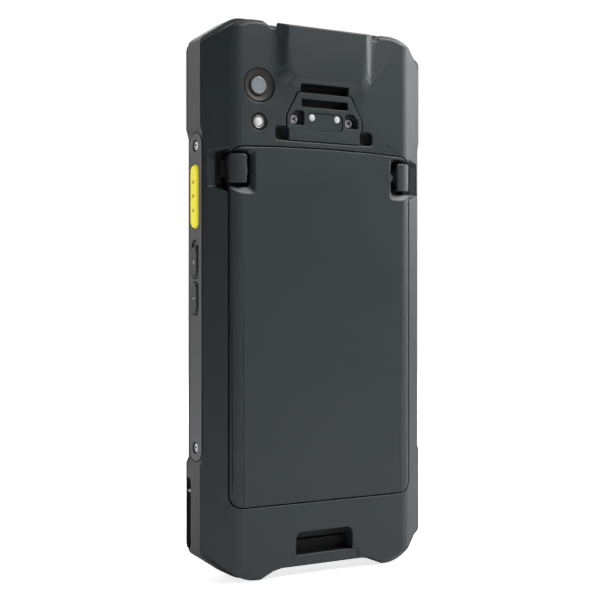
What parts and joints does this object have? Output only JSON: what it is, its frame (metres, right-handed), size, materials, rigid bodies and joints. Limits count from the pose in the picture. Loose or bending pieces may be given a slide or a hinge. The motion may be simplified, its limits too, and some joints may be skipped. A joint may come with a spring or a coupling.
{
  "type": "portable barcode data terminal",
  "caption": "Rugged handheld data terminal with large touch display, side scan keys, rear camera, scanner bump and a latched removable battery pack.",
  "frame": {"origin": "under the centre of the box, on the surface that the terminal stands on", "axes": "+Z along the length towards the scanner end, +Y through the thickness towards the rear face, +X towards the side with the volume keys"},
  "size_m": [0.0772, 0.0186, 0.1647],
  "materials": {
    "charcoal_housing": "fine moulded texture",
    "rim_plastic": "fine moulded texture",
    "strip_plastic": "satin",
    "key_yellow": "satin",
    "key_black": "satin",
    "display_glass": "polished, dark behind",
    "display_stack": "glossy",
    "adhesive": "matt",
    "light_alloy": "satin",
    "circuit_board": "satin",
    "spring_steel": "bright",
    "contact_gold": "bright",
    "black_insulator": "satin",
    "camera_trim": "satin anodised",
    "lens_glass": "polished",
    "flash_white": "clear",
    "window_dark": "polished dark red",
    "seal_rubber": "matt",
    "battery_block": "matt"
  },
  "bodies": {
    "terminal": {"rear_housing": "charcoal_housing", "mid_frame": "charcoal_housing", "front_bezel": "rim_plastic", "cover_glass": "display_glass", "display_adhesive": "adhesive", "display_panel": "display_stack", "support_plate": "light_alloy", "side_strip_right": "strip_plastic", "side_strip_left": "strip_plastic", "strip_screws": "spring_steel", "key_flex_right": "circuit_board", "key_flex_left": "circuit_board", "key_switches": "spring_steel", "io_plate": "charcoal_housing", "io_contact_block": "black_insulator", "io_contact_pins": "spring_steel", "io_screws": "spring_steel", "camera_ring": "camera_trim", "camera_lens": "lens_glass", "camera_module": "black_insulator", "flash_ring": "camera_trim", "flash_window": "flash_white", "flash_led": "flash_white", "scan_window": "window_dark", "window_gasket": "seal_rubber", "scan_engine": "black_insulator", "earpiece": "black_insulator", "earpiece_mesh": "spring_steel", "speaker_mesh": "spring_steel", "front_camera": "black_insulator", "light_pipe": "flash_white", "main_board": "circuit_board", "board_shields": "spring_steel", "lower_board": "circuit_board", "battery_connector": "contact_gold", "power_switch": "black_insulator", "usb_connector": "spring_steel", "cradle_contacts": "contact_gold", "loudspeaker": "black_insulator", "vibration_motor": "spring_steel", "microphones": "spring_steel", "strap_bar": "spring_steel", "lanyard_pins": "spring_steel", "body_screws": "spring_steel"},
    "battery": {"battery_cover": "charcoal_housing", "battery_cells": "battery_block", "battery_contacts": "contact_gold", "latch_spring_right": "spring_steel", "latch_spring_left": "spring_steel"},
    "latch_right": {"latch_right": "charcoal_housing"},
    "latch_left": {"latch_left": "charcoal_housing"},
    "scan_key_right": {"scan_button_right": "key_yellow"},
    "scan_key_left": {"scan_button_left": "key_yellow"},
    "volume_up_key": {"volume_up_button": "key_black"},
    "volume_down_key": {"volume_down_button": "key_black"},
    "programmable_key": {"programmable_button": "key_black"},
    "power_key": {"power_button": "key_black"}
  },
  "joints": [
    {"name": "battery_tilt", "type": "hinge", "parent": "terminal", "child": "battery", "pos_m": [0, 0.00737, 0.0217], "axis": [-1, 0, 0], "range_deg": [0, 30]},
    {"name": "latch_right_press", "type": "slide", "parent": "battery", "child": "latch_right", "axis": [-1, 0, 0], "range_m": [0, 0.0012], "stiffness_N_per_m": 1200, "springref_m": -0.0004, "deforming": ["latch_spring_right"]},
    {"name": "latch_left_press", "type": "slide", "parent": "battery", "child": "latch_left", "axis": [1, 0, 0], "range_m": [0, 0.0012], "stiffness_N_per_m": 1200, "springref_m": -0.0004, "deforming": ["latch_spring_left"]},
    {"name": "scan_right_press", "type": "slide", "parent": "terminal", "child": "scan_key_right", "axis": [-1, 0, 0], "range_m": [0, 0.0005], "stiffness_N_per_m": 1500, "springref_m": -0.0003},
    {"name": "scan_left_press", "type": "slide", "parent": "terminal", "child": "scan_key_left", "axis": [1, 0, 0], "range_m": [0, 0.0005], "stiffness_N_per_m": 1500, "springref_m": -0.0003},
    {"name": "volume_up_press", "type": "slide", "parent": "terminal", "child": "volume_up_key", "axis": [-1, 0, 0], "range_m": [0, 0.0005], "stiffness_N_per_m": 1500, "springref_m": -0.0003},
    {"name": "volume_down_press", "type": "slide", "parent": "terminal", "child": "volume_down_key", "axis": [-1, 0, 0], "range_m": [0, 0.0005], "stiffness_N_per_m": 1500, "springref_m": -0.0003},
    {"name": "programmable_press", "type": "slide", "parent": "terminal", "child": "programmable_key", "axis": [1, 0, 0], "range_m": [0, 0.0005], "stiffness_N_per_m": 1500, "springref_m": -0.0003},
    {"name": "power_press", "type": "slide", "parent": "terminal", "child": "power_key", "axis": [0, 0, -1], "range_m": [0, 0.0004], "stiffness_N_per_m": 1500, "springref_m": -0.0003}
  ]
}
